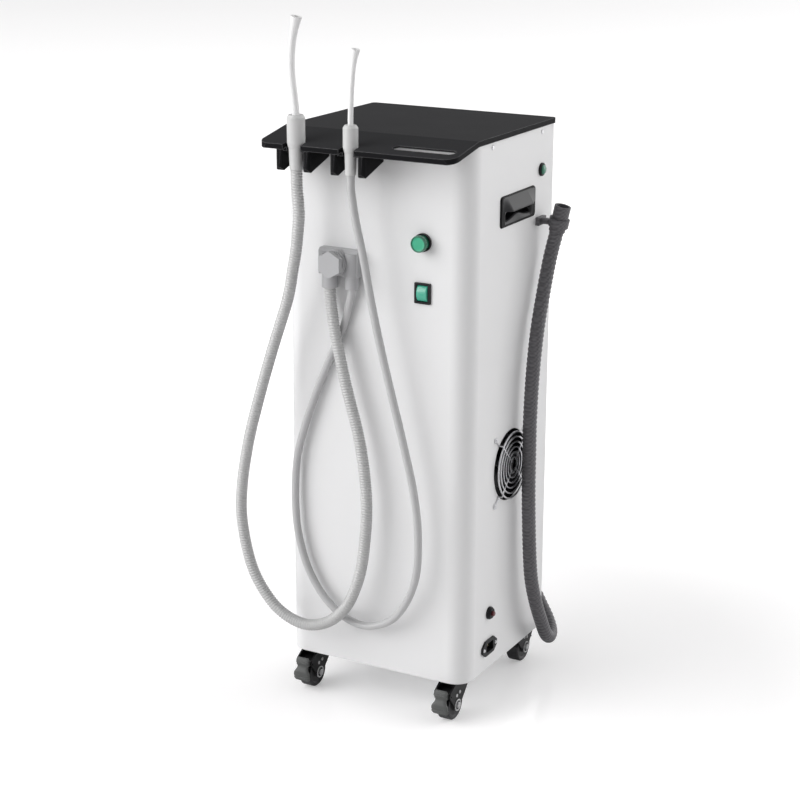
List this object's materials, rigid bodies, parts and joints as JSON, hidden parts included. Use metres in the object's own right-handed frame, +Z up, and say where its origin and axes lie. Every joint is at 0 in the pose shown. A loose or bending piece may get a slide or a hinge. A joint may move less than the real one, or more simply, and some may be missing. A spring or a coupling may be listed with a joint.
{
  "type": "mobile dental suction unit",
  "caption": "Slim white cabinet on casters with a black lipped top that holds suction handpieces on looping hoses, with a filter cap, lamp, rocker, fan and clipped drain hose.",
  "frame": {"origin": "On the floor, under the middle of the box round everything but the free hoses and the drain cuff.", "axes": "+Z is up. -Y is the front, with the handpieces and the switch. +X is the right side of a person facing the front, the side with the fan and the drain hose."},
  "size_m": [0.4305, 0.3983, 1.0609],
  "materials": {
    "cabinet_paint": "satin",
    "bright_steel": "satin",
    "inner_steel": "satin",
    "cover_plastic": "satin",
    "black_plastic": "satin",
    "lamp_green": "gloss",
    "button_green": "gloss",
    "breaker_red": "gloss",
    "pin_brass": "satin",
    "connector_grey": "satin",
    "hose_pale": "satin",
    "handpiece_pale": "satin",
    "tip_white": "satin",
    "hose_dark": "satin",
    "caster_steel": "satin",
    "wheel_black": "satin",
    "pedal_grey": "satin",
    "motor_metal": "satin",
    "tank_clear": "gloss",
    "box_grey": "satin",
    "inner_hose": "satin"
  },
  "bodies": {
    "cabinet": {"cabinet_shell": "cabinet_paint", "rear_panel": "cabinet_paint", "rear_panel_screws": "bright_steel", "base_tray": "inner_steel", "equipment_shelf": "inner_steel", "top_cover": "cover_plastic", "cover_screws": "bright_steel", "pilot_lamp_bezel": "black_plastic", "pilot_lamp_lens": "lamp_green", "switch_frame": "black_plastic", "side_button_bezel": "black_plastic", "breaker_bush": "black_plastic", "power_inlet": "black_plastic", "inlet_pins": "pin_brass", "inlet_screws": "bright_steel", "carry_handle_right": "cover_plastic", "carry_handle_left": "cover_plastic", "fan_guard": "bright_steel", "fan_frame": "black_plastic", "fan_screws": "bright_steel", "manifold_block": "connector_grey", "hose_cuffs": "connector_grey", "large_hose": "hose_pale", "small_hose": "hose_pale", "hose_clip": "hose_dark", "drain_hose": "hose_dark", "drain_cuff": "hose_dark", "outlet_elbow": "hose_dark", "caster_plates": "caster_steel", "suction_motor": "motor_metal", "separator_tank": "tank_clear", "tank_lid": "black_plastic", "control_box": "box_grey", "internal_hoses": "inner_hose"},
    "rocker": {"switch_rocker": "lamp_green"},
    "side_push": {"side_button": "button_green"},
    "breaker_push": {"breaker_button": "breaker_red"},
    "rotor": {"fan_rotor": "black_plastic"},
    "impeller": {"motor_impeller": "motor_metal"},
    "filter": {"filter_cap": "connector_grey"},
    "large_holder": {"large_handpiece": "handpiece_pale"},
    "large_end": {"large_tip": "tip_white"},
    "small_holder": {"small_handpiece": "handpiece_pale"},
    "small_end": {"small_tip": "tip_white"},
    "front_left_swivel": {"front_left_fork": "black_plastic", "front_left_axle": "bright_steel"},
    "front_left_roll": {"front_left_wheel": "wheel_black"},
    "front_right_swivel": {"front_right_fork": "black_plastic", "front_right_axle": "bright_steel"},
    "front_right_roll": {"front_right_wheel": "wheel_black"},
    "rear_left_swivel": {"rear_left_fork": "black_plastic", "rear_left_axle": "bright_steel"},
    "rear_left_roll": {"rear_left_wheel": "wheel_black"},
    "rear_right_swivel": {"rear_right_fork": "black_plastic", "rear_right_axle": "bright_steel"},
    "rear_right_roll": {"rear_right_wheel": "wheel_black"},
    "front_left_brake": {"front_left_pedal": "pedal_grey"},
    "front_right_brake": {"front_right_pedal": "pedal_grey"}
  },
  "joints": [
    {"name": "front_left_swivel", "type": "hinge", "parent": "cabinet", "child": "front_left_swivel", "pos_m": [-0.14128, -0.09868, 0.05], "axis": [0, 0, 1], "continuous": true},
    {"name": "front_left_roll", "type": "hinge", "parent": "front_left_swivel", "child": "front_left_roll", "pos_m": [-0.14128, -0.11968, 0.0245], "axis": [1, 0, 0], "continuous": true},
    {"name": "front_right_swivel", "type": "hinge", "parent": "cabinet", "child": "front_right_swivel", "pos_m": [0.10472, -0.09868, 0.05], "axis": [0, 0, 1], "continuous": true},
    {"name": "front_right_roll", "type": "hinge", "parent": "front_right_swivel", "child": "front_right_roll", "pos_m": [0.10472, -0.11968, 0.0245], "axis": [1, 0, 0], "continuous": true},
    {"name": "rear_left_swivel", "type": "hinge", "parent": "cabinet", "child": "rear_left_swivel", "pos_m": [-0.14128, 0.10532, 0.05], "axis": [0, 0, 1], "continuous": true},
    {"name": "rear_left_roll", "type": "hinge", "parent": "rear_left_swivel", "child": "rear_left_roll", "pos_m": [-0.14128, 0.12632, 0.0245], "axis": [1, 0, 0], "continuous": true},
    {"name": "rear_right_swivel", "type": "hinge", "parent": "cabinet", "child": "rear_right_swivel", "pos_m": [0.10472, 0.10532, 0.05], "axis": [0, 0, 1], "continuous": true},
    {"name": "rear_right_roll", "type": "hinge", "parent": "rear_right_swivel", "child": "rear_right_roll", "pos_m": [0.10472, 0.12632, 0.0245], "axis": [1, 0, 0], "continuous": true},
    {"name": "front_left_brake", "type": "hinge", "parent": "front_left_swivel", "child": "front_left_brake", "pos_m": [-0.14128, -0.14218, 0.046], "axis": [1, 0, 0], "range_deg": [0, 7]},
    {"name": "front_right_brake", "type": "hinge", "parent": "front_right_swivel", "child": "front_right_brake", "pos_m": [0.10472, -0.14218, 0.046], "axis": [1, 0, 0], "range_deg": [0, 7]},
    {"name": "rocker_tilt", "type": "hinge", "parent": "cabinet", "child": "rocker", "pos_m": [0.06172, -0.13568, 0.67], "axis": [1, 0, 0], "range_deg": [0, 14]},
    {"name": "side_button_press", "type": "slide", "parent": "cabinet", "child": "side_push", "axis": [-1, 0, 0], "range_m": [0, 0.003], "stiffness_N_per_m": 300},
    {"name": "breaker_press", "type": "slide", "parent": "cabinet", "child": "breaker_push", "axis": [-1, 0, 0], "range_m": [0, 0.0025], "stiffness_N_per_m": 400},
    {"name": "fan_spin", "type": "hinge", "parent": "cabinet", "child": "rotor", "pos_m": [0.12172, 0.01032, 0.379], "axis": [1, 0, 0], "continuous": true},
    {"name": "motor_spin", "type": "hinge", "parent": "cabinet", "child": "impeller", "pos_m": [-0.04828, 0.01332, 0.1], "axis": [0, 0, 1], "continuous": true},
    {"name": "filter_turn", "type": "hinge", "parent": "cabinet", "child": "filter", "pos_m": [-0.07278, -0.16668, 0.7045], "axis": [0, -1, 0], "range_deg": [0, 90]},
    {"name": "large_handpiece_lift", "type": "slide", "parent": "cabinet", "child": "large_holder", "axis": [0, 0, 1], "range_m": [0, 0.12]},
    {"name": "large_tip_pull", "type": "slide", "parent": "large_holder", "child": "large_end", "axis": [0, 0, 1], "range_m": [0, 0.03]},
    {"name": "small_handpiece_lift", "type": "slide", "parent": "cabinet", "child": "small_holder", "axis": [0, 0, 1], "range_m": [0, 0.12]},
    {"name": "small_tip_pull", "type": "slide", "parent": "small_holder", "child": "small_end", "axis": [0, 0, 1], "range_m": [0, 0.03]}
  ]
}
